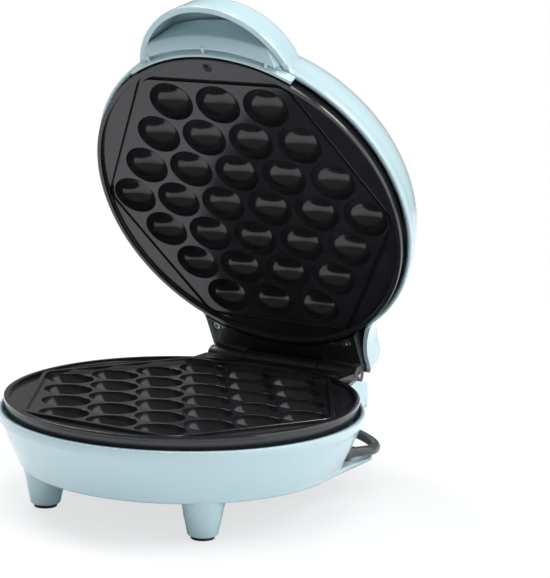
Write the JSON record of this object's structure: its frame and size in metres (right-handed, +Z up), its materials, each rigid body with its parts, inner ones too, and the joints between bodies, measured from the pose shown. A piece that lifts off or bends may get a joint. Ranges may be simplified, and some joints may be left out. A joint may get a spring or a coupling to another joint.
{
  "type": "egg waffle pan",
  "caption": "Round electric pan for egg waffles with two cast plates of oval cells, hooded handle, rear hinge, front legs and a cord wound round a rear column, lid open.",
  "frame": {"origin": "on the floor under the middle of the machine, lid open, cord not counted", "axes": "+Z up, +Y from the handle side to the hinge, +X to the right as seen from the handle side"},
  "size_m": [0.191, 0.2244, 0.2595],
  "materials": {
    "shell": "smooth, glossy, pale blue",
    "nonstick": "cast aluminium with a black non-stick coating",
    "black_plastic": "moulded, satin",
    "screw_steel": "plated",
    "pin_steel": "drawn",
    "element_steel": "dull, heat stained",
    "reflector_metal": "bright sheet",
    "fuse_metal": "plain",
    "thermostat_body": "moulded",
    "terminal_plastic": "moulded",
    "wire_sleeve": "woven sleeve",
    "pad_rubber": "dark blue-black",
    "cord_sheath": "dark, satin",
    "plug_plastic": "moulded, satin",
    "blade_brass": "plain",
    "lens": "clear red",
    "lamp_glass": "clear"
  },
  "bodies": {
    "base": {"base_shell": "shell", "lower_plate": "nonstick", "lower_plate_screw": "screw_steel", "lower_heating_element": "element_steel", "lower_reflector": "reflector_metal", "thermal_fuse": "fuse_metal", "terminal_block": "terminal_plastic", "base_wiring": "wire_sleeve", "base_hinge_housing": "black_plastic", "base_housing_screws": "screw_steel", "hinge_pin": "pin_steel", "cord_winder": "shell", "winder_screws": "screw_steel", "foot_pads": "pad_rubber", "cord_gland": "cord_sheath", "cord_lead": "cord_sheath", "cord_coil": "cord_sheath", "cord_tail": "cord_sheath", "power_plug": "plug_plastic", "plug_blades": "blade_brass"},
    "lid": {"lid_shell": "shell", "handle_insert": "shell", "upper_plate": "nonstick", "upper_plate_screw": "screw_steel", "upper_heating_element": "element_steel", "upper_reflector": "reflector_metal", "thermostat": "thermostat_body", "lid_wiring": "wire_sleeve", "lid_hinge_housing": "black_plastic", "lid_housing_screws": "screw_steel", "indicator_lenses": "lens", "indicator_lamps": "lamp_glass"}
  },
  "joints": [
    {"name": "lid_hinge", "type": "hinge", "parent": "base", "child": "lid", "pos_m": [0, 0.08903, 0.0525], "axis": [-1, 0, 0], "range_deg": [-61.3, 6]}
  ]
}
